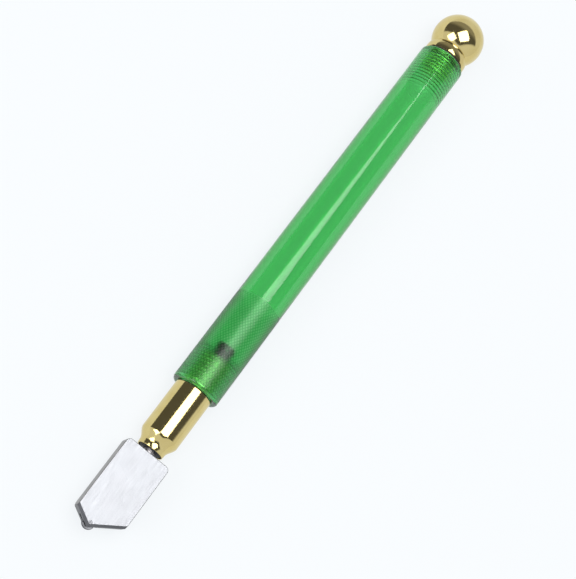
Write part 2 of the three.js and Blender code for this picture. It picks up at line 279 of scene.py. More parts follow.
def arc(centre, radius, start, stop, steps):
    """Points of an arc in an outline, angles in degrees from +x towards +r"""
    return [
        (centre[0] + radius * math.cos(a), centre[1] + radius * math.sin(a))
        for a in np.radians(np.linspace(start, stop, steps + 1))
    ]


def rounded(corners, steps=4):
    """An outline whose [x, r, radius] corners are rounded"""
    outline = []
    for i, (x, r, *radius) in enumerate(corners):
        here = np.array((x, r), float)
        if not radius:
            outline.append((x, r))
            continue
        u = np.array(corners[i - 1][:2], float) - here
        v = np.array(corners[(i + 1) % len(corners)][:2], float) - here
        u, v = u / np.linalg.norm(u), v / np.linalg.norm(v)
        half = math.acos(float(np.clip(u @ v, -1, 1))) / 2
        centre = here + (u + v) / np.linalg.norm(u + v) * radius[0] / math.sin(half)
        a, b = [math.atan2(*(here + w * radius[0] / math.tan(half) - centre)[::-1]) for w in (u, v)]
        sweep = (b - a + math.pi) % (2 * math.pi) - math.pi
        outline += [
            tuple(centre + radius[0] * np.array((math.cos(t), math.sin(t))))
            for t in np.linspace(a, a + sweep, steps + 1)
        ]
    return outline


def mesh_object(name, points, faces, row=True):
    """An object with that mesh, given in the tool's frame, cleaned of doubled points"""
    mesh = bpy.data.meshes.new(name)
    mesh.from_pydata([tuple(p) for p in (to_row(points) if row else points)], [], faces)
    bm = bmesh.new()
    bm.from_mesh(mesh)
    bmesh.ops.remove_doubles(bm, verts=bm.verts, dist=WELD_DISTANCE_M)
    bm.to_mesh(mesh)
    bm.free()
    obj = bpy.data.objects.new(name, mesh)
    bpy.context.scene.collection.objects.link(obj)
    return obj


def carve(obj, *cutters):
    """Cuts the cutters out of obj and removes them"""
    for cutter in cutters:
        modifier = obj.modifiers.new("cut", "BOOLEAN")
        modifier.operation, modifier.solver, modifier.object = "DIFFERENCE", "EXACT", cutter
    depsgraph = bpy.context.evaluated_depsgraph_get()
    obj.data = bpy.data.meshes.new_from_object(obj.evaluated_get(depsgraph))
    obj.modifiers.clear()
    for cutter in cutters:
        bpy.data.objects.remove(cutter)


def finished(obj, body, slot, material, *stands_for, sharp=32):
    """Smooth shading with sharp edges, a material, and the piece's place in the frame"""
    obj.data.materials.clear()
    obj.data.materials.append(material)
    obj.data.shade_smooth()
    obj.data.set_sharp_from_angle(angle=math.radians(sharp))
    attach(obj, body)
    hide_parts(*stands_for)
    return obj


def solid(name, skin):
    return mesh_object(name, skin.placed(), skin.faces)


def turned(name, outline, sides, upright_at=None):
    """A piece whose whole closed outline is turned about its axis"""
    skin = Skin(upright_at)
    first, last = skin.turn(outline, sides)
    if len(first) > 1:
        skin.join(last, first)
    return solid(name, skin)


def pin(x0, x1, r, sides=PIN_SIDES, upright_at=None):
    return turned("cutter", [(x0, 0), (x0, r), (x1, r), (x1, 0)], sides, upright_at)


def block(x, y, z):
    points = [(a, b, c) for a in x for b in y for c in z]
    faces = [(0, 1, 3, 2), (4, 6, 7, 5), (0, 4, 5, 1), (2, 3, 7, 6), (0, 2, 6, 4), (1, 5, 7, 3)]
    return mesh_object("cutter", points, faces)


# ---- Materials -----------------------------------------------------------------------------


class Paint:
    """A node material whose patterns are laid out in the tool's frame, in millimetres"""

    def __init__(self, name, **sockets):
        self.material = bpy.data.materials.new(name)
        self.material.use_nodes = True
        self.tree = self.material.node_tree
        self.shader = self.tree.nodes["Principled BSDF"]
        for key, value in sockets.items():
            self.shader.inputs[key.replace("_", " ")].default_value = value
        coordinates = self.tree.nodes.new("ShaderNodeTexCoord")
        mapping = self.tree.nodes.new("ShaderNodeMapping")
        mapping.inputs["Location"].default_value = tuple(-TURN @ np.array(ORIGIN) / MM)
        mapping.inputs["Rotation"].default_value = (0, math.atan2(AXIS.z, AXIS.x), 0)
        mapping.inputs["Scale"].default_value = (1 / MM,) * 3
        self.link(coordinates.outputs["Object"], mapping.inputs["Vector"])
        self.place = mapping.outputs["Vector"]
        self.normal = coordinates.outputs["Normal"]

    def link(self, a, b):
        self.tree.links.new(a, b)

    def noise(self, scale, detail=2.0, stretch=(1, 1, 1), rough=0.5):
        """Noise of that many features per millimetre"""
        mapping = self.tree.nodes.new("ShaderNodeMapping")
        mapping.inputs["Scale"].default_value = stretch
        self.link(self.place, mapping.inputs["Vector"])
        node = self.tree.nodes.new("ShaderNodeTexNoise")
        node.inputs["Scale"].default_value = scale
        node.inputs["Detail"].default_value = detail
        node.inputs["Roughness"].default_value = rough
        self.link(mapping.outputs["Vector"], node.inputs["Vector"])
        return node.outputs["Fac"]

    def along(self):
        """Station along the tool"""
        node = self.tree.nodes.new("ShaderNodeSeparateXYZ")
        self.link(self.place, node.inputs[0])
        return node.outputs["X"]

    def radius(self):
        """Distance from the tool's axis"""
        across = self.tree.nodes.new("ShaderNodeMapping")
        across.inputs["Scale"].default_value = (0, 1, 1)
        self.link(self.place, across.inputs["Vector"])
        node = self.tree.nodes.new("ShaderNodeVectorMath")
        node.operation = "LENGTH"
        self.link(across.outputs["Vector"], node.inputs[0])
        return node.outputs["Value"]

    def facing(self, direction):
        """The surface normal's share along a direction"""
        node = self.tree.nodes.new("ShaderNodeVectorMath")
        node.operation = "DOT_PRODUCT"
        node.inputs[1].default_value = direction
        self.link(self.normal, node.inputs[0])
        return node.outputs["Value"]

    def times(self, a, b):
        node = self.tree.nodes.new("ShaderNodeMath")
        node.operation = "MULTIPLY"
        self.link(a, node.inputs[0])
        self.link(b, node.inputs[1])
        return node.outputs[0]

    def ramp(self, value, low, high, at=(0.35, 0.65)):
        node = self.tree.nodes.new("ShaderNodeMapRange")
        node.inputs["From Min"].default_value, node.inputs["From Max"].default_value = at
        node.inputs["To Min"].default_value, node.inputs["To Max"].default_value = low, high
        self.link(value, node.inputs["Value"])
        return node.outputs["Result"]

    def mix(self, factor, a, b):
        node = self.tree.nodes.new("ShaderNodeMix")
        node.data_type = "RGBA"
        for socket, value in ((node.inputs[6], a), (node.inputs[7], b)):
            if isinstance(value, tuple):
                socket.default_value = (*value, 1)
            else:
                self.link(value, socket)
        self.link(factor, node.inputs[0])
        return node.outputs[2]

    def set(self, socket, value):
        self.link(value, self.shader.inputs[socket])

    def bump(self, *layers):
        """Bumps of (height, depth in millimetres), one over the other"""
        normal = None
        for height, depth in layers:
            node = self.tree.nodes.new("ShaderNodeBump")
            node.inputs["Strength"].default_value = 1.0
            node.inputs["Distance"].default_value = depth * MM
            self.link(height, node.inputs["Height"])
            if normal is not None:
                self.link(normal, node.inputs["Normal"])
            normal = node.outputs["Normal"]
        self.set("Normal", normal)


def brass():
    """Polished where it shows; the threaded ends inside the barrel are bright and only cut"""
    paint = Paint("polished_brass", Metallic=1.0)
    tarnish = paint.ramp(paint.noise(0.35, 4), 0, 1)
    inside = paint.times(
        paint.ramp(paint.along(), 0, 1, at=(SHOULDER, SHOULDER + 0.1)),
        paint.ramp(paint.along(), 1, 0, at=(FLANGE - 0.1, FLANGE)),
    )
    skin = paint.mix(tarnish, (0.68, 0.565, 0.248), (0.64, 0.52, 0.212))
    paint.set("Base Color", paint.mix(inside, skin, (0.98, 0.88, 0.45)))
    polish = paint.ramp(paint.noise(1.6, 4), 0.06, 0.13)
    paint.set("Roughness", paint.mix(inside, polish, (0.4, 0.4, 0.4)))
    lathe = paint.noise(9, 3, stretch=(1, 0.02, 0.02))
    paint.bump((paint.noise(2.2, 2), 0.004), (lathe, 0.0006))
    return paint.material


def chrome():
    """Satin plating on the wide faces; the plate's sides have painted shade, a darker copy of the
    plating, and its slopes are painted darkest, standing for the shadowed floor that they reflect
    """
    paint = Paint("chromed_steel", Metallic=1.0)
    cloud = paint.ramp(paint.noise(0.25, 3), 0, 1)
    face = paint.mix(cloud, (0.33, 0.338, 0.356), (0.32, 0.326, 0.343))
    # painted shade: darker copies of the plating for the sides, darkest on the slopes, chosen by
    # which way the surface faces
    side = paint.mix(cloud, (0.30, 0.295, 0.29), (0.26, 0.255, 0.25))
    shaded_slope = paint.mix(cloud, (0.17, 0.172, 0.18), (0.13, 0.132, 0.14))
    shaded_flank = paint.mix(paint.ramp(paint.facing(AXIS), 1, 0, at=(-0.5, -0.3)), side, shaded_slope)
    height = paint.facing(UP)
    wide = paint.ramp(paint.times(height, height), 0, 1, at=(0.9, 0.99))
    paint.set("Base Color", paint.mix(wide, shaded_flank, face))
    paint.set("Roughness", paint.ramp(paint.noise(1.2, 5, stretch=(0.2, 3, 3)), 0.38, 0.46))
    hairs = paint.noise(14, 2, stretch=(0.04, 1, 1))
    paint.bump((hairs, 0.0006), (paint.noise(0.5, 2), 0.002))
    return paint.material


def turned_steel():
    paint = Paint("plain_steel", Metallic=1.0)
    shade = paint.ramp(paint.noise(0.8, 4), 0, 1)
    paint.set("Base Color", paint.mix(shade, (0.52, 0.50, 0.51), (0.42, 0.40, 0.42)))
    paint.set("Roughness", paint.ramp(paint.noise(5, 3), 0.34, 0.46))
    paint.bump((paint.noise(16, 2, stretch=(1, 0.03, 0.03)), 0.003))
    return paint.material


def hard_steel():
    paint = Paint("hard_steel", Metallic=1.0)
    shade = paint.ramp(paint.noise(2.5, 4), 0, 1)
    paint.set("Base Color", paint.mix(shade, (0.62, 0.63, 0.65), (0.46, 0.47, 0.50)))
    paint.set("Roughness", paint.ramp(paint.noise(6, 3), 0.16, 0.3))
    paint.bump((paint.noise(18, 3, stretch=(1, 1, 6)), 0.002))
    return paint.material


def dark_steel():
    paint = Paint("dark_steel", Metallic=1.0)
    shade = paint.ramp(paint.noise(3.0, 4), 0, 1)
    paint.set("Base Color", paint.mix(shade, (0.13, 0.132, 0.14), (0.085, 0.087, 0.095)))
    paint.set("Roughness", paint.ramp(paint.noise(7, 3), 0.24, 0.38))
    paint.bump((paint.noise(20, 3, stretch=(1, 1, 4)), 0.002))
    return paint.material


def rubber():
    paint = Paint("black_rubber", Metallic=0.0)
    dust = paint.ramp(paint.noise(3, 5), 0, 1, at=(0.5, 0.8))
    paint.set("Base Color", paint.mix(dust, (0.012, 0.012, 0.012), (0.05, 0.05, 0.048)))
    paint.set("Roughness", paint.ramp(paint.noise(6, 4), 0.42, 0.65))
    paint.bump((paint.noise(14, 4), 0.01))
    return paint.material


def nylon():
    paint = Paint("black_nylon", Metallic=0.0)
    shade = paint.ramp(paint.noise(1.5, 4), 0, 1)
    paint.set("Base Color", paint.mix(shade, (0.014, 0.016, 0.015), (0.03, 0.034, 0.032)))
    paint.set("Roughness", paint.ramp(paint.noise(4, 4), 0.3, 0.5))
    paint.bump((paint.noise(12, 4), 0.006))
    return paint.material


def felt():
    paint = Paint("white_felt", Metallic=0.0, Roughness=0.95, Sheen_Weight=0.4)
    fibre = paint.noise(9, 5, stretch=(0.3, 1, 1))
    shade = paint.ramp(fibre, 0, 1)
    paint.set("Base Color", paint.mix(shade, (0.83, 0.8, 0.7), (0.68, 0.64, 0.52)))
    paint.bump((fibre, 0.06))
    return paint.material


ACRYLIC_TINT = (0.72, 0.97, 0.76)
ACRYLIC_ABSORBS = (0.09, 0.755, 0.27)
ACRYLIC_DENSITY = 400.0
# painted shade: the dark tint laid into the knurl's grooves
PAINTED_GROOVE_SHADE = (0.16, 0.46, 0.25)
BORE_ROUGHNESS = 0.14
THREAD_ROUGHNESS = 0.3


def acrylic():
    """Clear green plastic: its body takes the colour out, and its skin is polished but handled; the
    knurl's grooves carry painted shade, a dark tint
    """
    paint = Paint("green_acrylic", Metallic=0.0, IOR=1.49, Transmission_Weight=1.0)
    swirl = paint.ramp(paint.noise(0.3, 3, stretch=(0.3, 1, 1)), 0, 1)
    paler = tuple(min(1.0, c * 1.04) for c in ACRYLIC_TINT)
    outside = paint.ramp(paint.radius(), 0, 1, at=(BARREL_R - 0.6, BARREL_R - 0.5))
    grip = paint.times(
        paint.ramp(paint.along(), 0, 1, at=(GRIP_START - 0.1, GRIP_START)),
        paint.ramp(paint.along(), 1, 0, at=(GRIP_END, GRIP_END + 0.1)),
    )
    grip = paint.times(grip, outside)
    # painted shade in the knurl's grooves, masked by distance from the axis
    groove = paint.ramp(paint.radius(), 1, 0, at=(BARREL_R - KNURL_DEPTH, BARREL_R - 0.006))
    groove = paint.times(grip, groove)
    paint.set("Base Color", paint.mix(groove, paint.mix(swirl, ACRYLIC_TINT, paler), PAINTED_GROOVE_SHADE))
    polish = paint.ramp(paint.noise(1.0, 4, stretch=(0.4, 2, 2)), 0.02, 0.07)
    threads = paint.mix(
        paint.ramp(paint.along(), 0, 1, at=(BARREL_END - CAP_THREAD, BARREL_END - CAP_THREAD + 1)),
        paint.ramp(paint.along(), 1, 0, at=(BARREL + FRONT_THREAD - 1, BARREL + FRONT_THREAD)),
        (1.0, 1.0, 1.0),
    )
    bore = paint.ramp(threads, BORE_ROUGHNESS, THREAD_ROUGHNESS, at=(0, 1))
    skin = paint.mix(grip, polish, (GRIP_ROUGHNESS,) * 3)
    paint.set("Roughness", paint.mix(outside, bore, skin))
    paint.bump((paint.noise(0.7, 2, stretch=(0.3, 1, 1)), 0.0012))
    volume = paint.tree.nodes.new("ShaderNodeVolumeAbsorption")
    volume.inputs["Color"].default_value = (*ACRYLIC_ABSORBS, 1)
    volume.inputs["Density"].default_value = ACRYLIC_DENSITY
    paint.link(volume.outputs["Volume"], paint.tree.nodes["Material Output"].inputs["Volume"])
    return paint.material


BRASS, CHROME, STEEL, HARD, DARK = brass(), chrome(), turned_steel(), hard_steel(), dark_steel()
RUBBER, NYLON, FELT, ACRYLIC = rubber(), nylon(), felt(), acrylic()

# ---- Barrel: knurled grip, polished tube, threads inside both ends --------------------------

BARREL_COLUMNS = GROOVE_CELLS * GROOVES
BORE_COLUMNS = BARREL_COLUMNS // 3


def knurl(row):
    """Radii round one row of the grip: two crossing sets of narrow grooves"""
    u, v = np.arange(BARREL_COLUMNS) / GROOVE_CELLS, row / GROOVE_CELLS
    distance = [2 * np.minimum(w % 1, 1 - w % 1) for w in (u + v, u - v)]
    height = np.clip(np.minimum(*distance) / GROOVE_WIDTH, 0, 1)
    cut = min(1.0, row / 2, (KNURL_ROWS - row) / 2)
    return BARREL_R - KNURL_DEPTH * (1 - height) * cut


def barrel():
    skin = Skin()
    front = rounded([(BARREL, 4.95), (BARREL, BARREL_R, 0.7), (BARREL + 5, BARREL_R)], 12)[:-1]
    first, last = skin.turn(front, BARREL_COLUMNS)
    for row in range(KNURL_ROWS + 1):
        x = GRIP_START + row * KNURL_PITCH / GROOVE_CELLS
        ring = skin.ring(x, knurl(row), BARREL_COLUMNS)
        skin.join(last, ring, crossed=None if row == 0 else row - 1)
        last = ring
    rear = rounded([(BARREL + 40, BARREL_R), (BARREL_END, BARREL_R, 0.35), (BARREL_END, 4.8)], 12)
    _, last = skin.turn(rear, BARREL_COLUMNS, after=last)
    top, bottom = skin.thread(BARREL_END - 0.3, BARREL_END - CAP_THREAD, CAP_CREST_R,
                              THREAD_ROOT_R, BORE_COLUMNS, runout=(THREAD_RUNOUT, 0.9),
                              rest=(RESERVOIR_R, THREAD_ROOT_R))
    skin.join(last, top)
    bore = [
        (BARREL_END - CAP_THREAD - 0.5, RESERVOIR_R),
        (BARREL + FRONT_THREAD + 0.5, RESERVOIR_R),
    ]
    _, last = skin.turn(bore, BORE_COLUMNS, after=bottom)
    top, bottom = skin.thread(BARREL + FRONT_THREAD, BARREL + 0.3, FRONT_CREST_R,
                              THREAD_ROOT_R, BORE_COLUMNS, runout=(0.9, THREAD_RUNOUT),
                              rest=(THREAD_ROOT_R, RESERVOIR_R))
    skin.join(last, top)
    skin.join(bottom, first)
    return finished(solid("barrel_tube", skin), "handle", "green_acrylic", ACRYLIC, "barrel")


barrel()

# ---- Ball cap and gasket --------------------------------------------------------------------


STUD_CREST_R = 4.1
STUD_ROOT_R = 3.85
STUD_NECK = 1.2
STUD_END_R = 3.7
END_GROOVE_IN = 2.4
END_GROOVE_OUT = 3.0
END_GROOVE_DEPTH = 0.3
WAIST_R = 5.16
WAIST_LENGTH = 0.85


def ball_cap():
    """Stud with a groove in its end, crowned flange, waist and ball"""
    skin = Skin()
    thread_end = FLANGE - STUD_NECK
    groove_x, groove_r = STUD + END_GROOVE_DEPTH, (END_GROOVE_IN + END_GROOVE_OUT) / 2
    end_face = [(STUD, 0), (STUD, END_GROOVE_IN), (groove_x, groove_r), (STUD, END_GROOVE_OUT)]
    _, last = skin.turn(end_face + [(STUD, STUD_END_R)], TURNED_SIDES)
    start, stop = skin.thread(STUD + 0.1, thread_end, STUD_CREST_R, STUD_ROOT_R, TURNED_SIDES,
                              runout=(0.8, 0.8))
    skin.join(last, start)
    end = FLANGE + FLANGE_LENGTH
    crown = [(FLANGE + FLANGE_LENGTH * t, FLANGE_R - FLANGE_CROWN * (2 * t - 1) ** 2)
             for t in np.linspace(0.06, 0.9, 12)]
    flange = [(thread_end, STUD_ROOT_R), (FLANGE, STUD_ROOT_R), (FLANGE, FLANGE_R - 0.3)] + crown
    flange += [(end - 0.06, FLANGE_R - 0.24), (end, FLANGE_R - 0.4)]
    flange += rounded([(end, 5.5), (end, WAIST_R, 0.3), (end + 0.7, WAIST_R + 0.1)], 5)
    _, last = skin.turn(flange, TURNED_SIDES, after=stop)
    start_angle = 180 - math.degrees(math.acos((BALL_X - end - WAIST_LENGTH) / BALL_R))
    ball = arc((BALL_X, 0), BALL_R, start_angle, 2, 56) + [(BALL_END, 0)]
    skin.turn(ball, TURNED_SIDES, after=last)
    return finished(solid("ball_cap_body", skin), "cap", "polished_brass", BRASS, "ball_cap")


ball_cap()


GASKET_BORES = {"cap_seal": 4.45, "ferrule_seal": 4.5, "stem_seal": 1.54}
GASKET_EDGE = 0.22


def gasket(name, node, body, sag):
    """A rubber ring that bulges by sag where it is squeezed, its edges rounded by a share of
    its thickness"""
    x0, x1 = ends(node)
    outer = float(span(node)[1][2])
    inner = GASKET_BORES[node]
    middle = (x0 + x1) / 2
    edge = (x1 - x0) * GASKET_EDGE
    outline = [(x0, inner + edge), (x0, outer - edge), (x0 + edge, outer - edge * 0.3)]
    outline += [(middle, outer + sag), (x1 - edge, outer - edge * 0.3), (x1, outer - edge)]
    outline += [(x1, inner + edge), (x1 - edge, inner), (x0 + edge, inner)]
    ring = turned(name, outline, SMALL_SIDES)
    return finished(ring, body, "black_rubber", RUBBER, node, sharp=50)


gasket("cap_gasket", "cap_seal", "cap_seal", 0.03)
gasket("barrel_gasket", "ferrule_seal", "handle", 0.02)
gasket("nose_gasket", "stem_seal", "handle", 0.0)

# ---- Ferrule, screw and oil valve -----------------------------------------------------------


SPIGOT_CREST_R = 4.14
SPIGOT_ROOT_R = 3.95
BORE_PLAY = 0.1
FLARE_POINTS = 15
NOSE_BREAK = 0.06


def ferrule():
    """Nose, S-shaped flare, sleeve and threaded spigot, with the screw's hole below"""
    skin = Skin()
    share = np.linspace(0, 1, FLARE_POINTS)
    rise = (FLARE_SHARE * share) ** 2 * (3 - 2 * FLARE_SHARE * share)
    flare = list(zip(NOSE + LAND_LENGTH + (FLARE_END - LAND_LENGTH) * share,
                     LAND_R + (FERRULE_R - LAND_R) * rise / rise[-1]))
    land = [(NOSE, SEAL_R), (NOSE, NOSE_R, 0.08), (NOSE + LAND_LENGTH, LAND_R)]
    outline = [(NOSE + SEAL_DEPTH, SEAL_R), (NOSE + NOSE_BREAK, SEAL_R)]
    outline += [(NOSE, SEAL_R + NOSE_BREAK)] + rounded(land, 3)[1:-1]
    outline += flare + [(NOSE + FLARE_END + 0.06, FERRULE_R)]
    outline += rounded([
        (NOSE + 9, FERRULE_R), (SHOULDER, FERRULE_R, 0.16), (SHOULDER, 4.2), (SHOULDER + 1.0, 4.0),
    ], 4)
    first, last = skin.turn(outline, TURNED_SIDES)
    start, stop = skin.thread(SHOULDER + 1.1, SPIGOT_END - 0.2, SPIGOT_CREST_R, SPIGOT_ROOT_R,
                              TURNED_SIDES)
    skin.join(last, start)
    inside = [(SPIGOT_END, 3.7), (SPIGOT_END, CHAMBER_R), (CHAMBER, CHAMBER_R)]
    inside += [(CHAMBER, STEM_R + BORE_PLAY), (NOSE + SEAL_DEPTH, STEM_R + BORE_PLAY)]
    _, last = skin.turn(inside, TURNED_SIDES, after=stop)
    skin.join(last, first)
    body = solid("ferrule_body", skin)
    hole_r = SCREW_R + 0.05
    hole = [(-7, 0), (-7, 2.1), (-5.1, 1.38), (-4.98, hole_r), (-1, hole_r), (-1, 0)]
    carve(body, turned("cutter", hole, SCREW_SIDES, upright_at=(SCREW_X, 0)))
    return finished(body, "handle", "polished_brass", BRASS, "ferrule")


ferrule()


def hexagon(width, sides):
    """Radii of a hexagonal hole's wall, for a ring of points"""
    turn = 360 * np.arange(sides) / sides
    return width / np.cos(np.radians(turn % 60 - 30))


def retaining_screw():
    """Headless screw with a hexagonal socket and a thinner tip"""
    low, high = span("retaining_screw")
    bottom, top = float(low[2]), float(high[2])
    sides, socket, depth = SCREW_SIDES, 0.62, 1.1
    tip, tip_r = -2.2, 0.7
    skin = Skin(upright_at=(SCREW_X, 0))
    shaft = rounded([
        (bottom, 0.95), (bottom, SCREW_R, 0.14), (tip, SCREW_R, 0.2), (tip, tip_r),
        (top, tip_r, 0.1), (top, 0),
    ], 3)
    first, _ = skin.turn(shaft, sides)
    levels = ((bottom + depth, socket), (bottom + 0.08, socket), (bottom, socket + 0.08))
    wall = [skin.ring(x, hexagon(width, sides), sides) for x, width in levels]
    centre = skin.ring(bottom + depth + 0.25, 0, sides)
    for a, b in zip([centre, *wall], [*wall, first]):
        skin.join(a, b)
    body = solid("retaining_screw_body", skin)
    return finished(body, "handle", "hard_steel", HARD, "retaining_screw")


retaining_screw()


VALVE_CAP_R = 3.15
VALVE_KNOB_R = 2.6
OIL_HOLE_R = 0.75
FLUTES = 12
FLUTE_DEPTH = 0.14


def valve_cap():
    """Plug in the spigot, and behind it a fluted knob whose end is rounded"""
    start, end = ends("valve_cap")
    sides = SMALL_SIDES
    flutes = FLUTE_DEPTH * (0.5 + 0.5 * np.cos(FLUTES * 2 * math.pi * np.arange(sides) / sides))
    skin = Skin()
    first, last = skin.turn([
        (start, OIL_HOLE_R), (start, 2.9), (start + 0.25, VALVE_CAP_R), (SPIGOT_END, VALVE_CAP_R),
        (SPIGOT_END, VALVE_KNOB_R),
    ], sides)
    knob = (
        (SPIGOT_END + 0.3, VALVE_KNOB_R, 0), (SPIGOT_END + 0.7, VALVE_KNOB_R, 1),
        (end - 0.8, VALVE_KNOB_R, 1), (end - 0.4, 2.55, 0.6), (end - 0.1, 2.38, 0.2), (end, 2.1, 0),
    )
    for x, r, share in knob:
        ring = skin.ring(x, r - flutes * share, sides)
        skin.join(last, ring)
        last = ring
    _, last = skin.turn([(end, 0.95), (end - 0.2, OIL_HOLE_R)], sides, after=last)
    skin.join(last, first)
    return finished(solid("valve_knob", skin), "handle", "black_nylon", NYLON, "valve_cap")


valve_cap()


def valve_spring():
    """Wire coil with its end turns closed"""
    start, end = ends("valve_spring")
    wire, coil, turns, around, steps_per_turn = 0.2, 1.9, 5, 10, 36
    steps = turns * steps_per_turn
    points, faces = [], []
    for i in range(steps + 1):
        t = i / steps
        eased = np.interp(t, (0, 0.15, 0.85, 1), (0, 0.04, 0.96, 1))
        x = start + wire + (end - start - 2 * wire) * eased
        a = 2 * math.pi * turns * t
        out = np.array((0, math.cos(a), math.sin(a)))
        for k in range(around):
            b = 2 * math.pi * k / around
            middle = np.array((x + wire * math.sin(b), 0, 0))
            points.append(middle + out * (coil + wire * math.cos(b)))
    for i in range(steps):
        for k in range(around):
            a, b = i * around + k, i * around + (k + 1) % around
            faces.append((a, a + around, b + around, b))
    faces += [tuple(range(around)), tuple(steps * around + k for k in reversed(range(around)))]
    spring = finished(mesh_object("valve_coil", points, faces), "handle", "plain_steel", STEEL,
                      "valve_spring")
    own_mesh(spring)
    return spring


valve_spring()

# ---- Head, stem, wheel and axle -------------------------------------------------------------


def head_outline(inset, slope_inset):
    """The plate's outline in x and y, moved in from its straight sides and from its slopes"""
    tip_r, slope_corner_r = 0.3, 0.6
    w = HEAD_HALF_WIDTH - inset
    normals = np.array([
        (math.sin(NEAR_SLOPE), -math.cos(NEAR_SLOPE)),
        (math.sin(FAR_SLOPE), math.cos(FAR_SLOPE)),
    ])
    levels = normals @ (HEAD, WHEEL_Y) + slope_inset
    tip = np.linalg.solve(normals, levels)
    near = (levels[0] - normals[0, 1] * w) / normals[0, 0]
    far = (levels[1] + normals[1, 1] * w) / normals[1, 0]
    end = HEAD_END - inset
    corner = max(HEAD_CORNER_R - inset, 0.1)
    return rounded([
        (*tip, max(tip_r - slope_inset, 0.05)),
        (far, -w, slope_corner_r),
        (end, -w, corner),
        (end, w, corner),
        (near, w, slope_corner_r),
    ], 8)


AXLE_HOLE_R = AXLE_R + 0.04
COUNTERSINK_R = AXLE_R + 0.16
COUNTERSINK_DEPTH = 0.1
STEM_SOCKET = 7.1
OIL_BORE_R = 0.6
OIL_BORE_SIDES = 24
WIDE_FACE = 0.999


def head_body():
    """The plate, its edges broken by a small round and chamfered along the slopes"""
    edge = 0.14
    depths = (0, 0.02, 0.06, edge, SLOPE_CHAMFER)
    layers = [
        (edge - math.sqrt(edge ** 2 - max(edge - depth, 0) ** 2), SLOPE_CHAMFER - depth,
         depth - HEAD_HALF)
        for depth in depths
    ]
    layers += [(inset, slope_inset, -z) for inset, slope_inset, z in reversed(layers)]
    points, faces, count = [], [], 0
    for inset, slope_inset, z in layers:
        ring = head_outline(inset, slope_inset)
        count = len(ring)
        points += [(x, y, z) for x, y in ring]
    for i in range(len(layers) - 1):
        for j in range(count):
            a, b = i * count + j, i * count + (j + 1) % count
            faces.append((a, b, b + count, a + count))
    top = (len(layers) - 1) * count
    faces += [tuple(reversed(range(count))), tuple(top + j for j in range(count))]
    body = mesh_object("head_plate", points, faces)
    at = (WHEEL_X, WHEEL_Y)
    proud = HEAD_HALF + 0.05
    countersink = [(HEAD_HALF - COUNTERSINK_DEPTH, 0), (HEAD_HALF - COUNTERSINK_DEPTH, AXLE_HOLE_R),
                   (proud, COUNTERSINK_R), (proud, 0)]
    carve(
        body,
        pin(-SLOT_HALF, SLOT_HALF, SLOT_R, SMALL_SIDES, at),
        pin(-3, 3, AXLE_HOLE_R, PIN_SIDES, at),
        turned("cutter", countersink, PIN_SIDES, at),
        turned("cutter", [(-z, r) for z, r in reversed(countersink)], PIN_SIDES, at),
        pin(HEAD_END - STEM_SOCKET, HEAD_END + 1, STEM_R + 0.05, SCREW_SIDES),
        pin(WHEEL_X + 1, HEAD_END - 6.5, OIL_BORE_R, OIL_BORE_SIDES),
    )
    finished(body, "head", "chromed_steel", CHROME, "head_body", sharp=40)
    for face in body.data.polygons:
        if abs(face.normal.dot(UP)) > WIDE_FACE:
            face.use_smooth = False
    return body


head_body()


def head_stem():
    """Drilled pin with a pocket for the retaining screw's tip and a slot that lets the oil in"""
    start, end = ends("head_stem")
    body = turned("head_pin", rounded([
        (start, OIL_BORE_R), (start, STEM_R, 0.2), (end, STEM_R, 0.15), (end, OIL_BORE_R),
    ], 4), SMALL_SIDES)
    low, high = SCREW_X - 1.6, SCREW_X + 0.8
    pocket = block((low, high), (-1.11, 1.11), (-3, -0.8))
    oil_slot = block((end - 0.8, end + 1), (-3, 3), (-0.35, 0.35))
    carve(body, pocket, oil_slot)
    return finished(body, "head", "plain_steel", STEEL, "head_stem")


head_stem()


WHEEL_EDGE = math.radians(140)
WHEEL_PLAY = 0.05
LAND_DROP = 0.06


def cutting_wheel():
    """Hard wheel: a sharp rim between flats, with a lapped land round its bore"""
    half = float(span("cutting_wheel")[1][2])
    rim = half / math.tan(WHEEL_EDGE / 2)
    bore = AXLE_R + WHEEL_PLAY
    side = [(half, WHEEL_R - rim), (half, 1.05), (half - LAND_DROP, 0.95), (half - LAND_DROP, 0.72),
            (half, 0.62), (half, bore + LAND_DROP), (half - LAND_DROP, bore)]
    outline = [(-z, r) for z, r in reversed(side)] + [(0, WHEEL_R)] + side
    wheel = turned("wheel_disc", outline, SMALL_SIDES, upright_at=(WHEEL_X, WHEEL_Y))
    return finished(wheel, "wheel", "hard_steel", DARK, "cutting_wheel", sharp=12)


cutting_wheel()


def wheel_axle():
    """Pin with rounded ends, each with a centre mark"""
    low, high = (float(v) for v in (span("wheel_axle")[0][2], span("wheel_axle")[1][2]))
    mark_r, mark_depth, end_r = 0.12, 0.05, 0.08
    pin_side = rounded([
        (low, mark_r), (low, AXLE_R, end_r), (high, AXLE_R, end_r), (high, mark_r),
    ], 3)
    skin = Skin(upright_at=(WHEEL_X, WHEEL_Y))
    skin.turn([(low + mark_depth, 0)] + pin_side + [(high - mark_depth, 0)], SCREW_SIDES)
    return finished(solid("axle_pin", skin), "head", "plain_steel", DARK, "wheel_axle")


wheel_axle()

for node, finish in (("valve_seat", RUBBER), ("valve_plunger", BRASS), ("oil_wick", FELT)):
    nodes[node].data.materials.clear()
    nodes[node].data.materials.append(finish)

# ---- Floor, light and camera ----------------------------------------------------------------

FLOOR_ALBEDO = 0.12
FLOOR_GLOW = (0.79, 0.818, 0.837)
FLOOR_Z = -0.00007
FLOOR_HALF = 4


def pale_floor():
    """Backlit white sheet: most of its brightness is its own, so its shadows are faint"""
    material = bpy.data.materials.new("pale_floor")
    material.use_nodes = True
    shader = material.node_tree.nodes["Principled BSDF"]
    shader.inputs["Base Color"].default_value = (FLOOR_ALBEDO,) * 3 + (1,)
    shader.inputs["Roughness"].default_value = 0.9
    shader.inputs["Specular IOR Level"].default_value = 0.0
    shader.inputs["Emission Color"].default_value = (*FLOOR_GLOW, 1)
    shader.inputs["Emission Strength"].default_value = 1.0
    return material


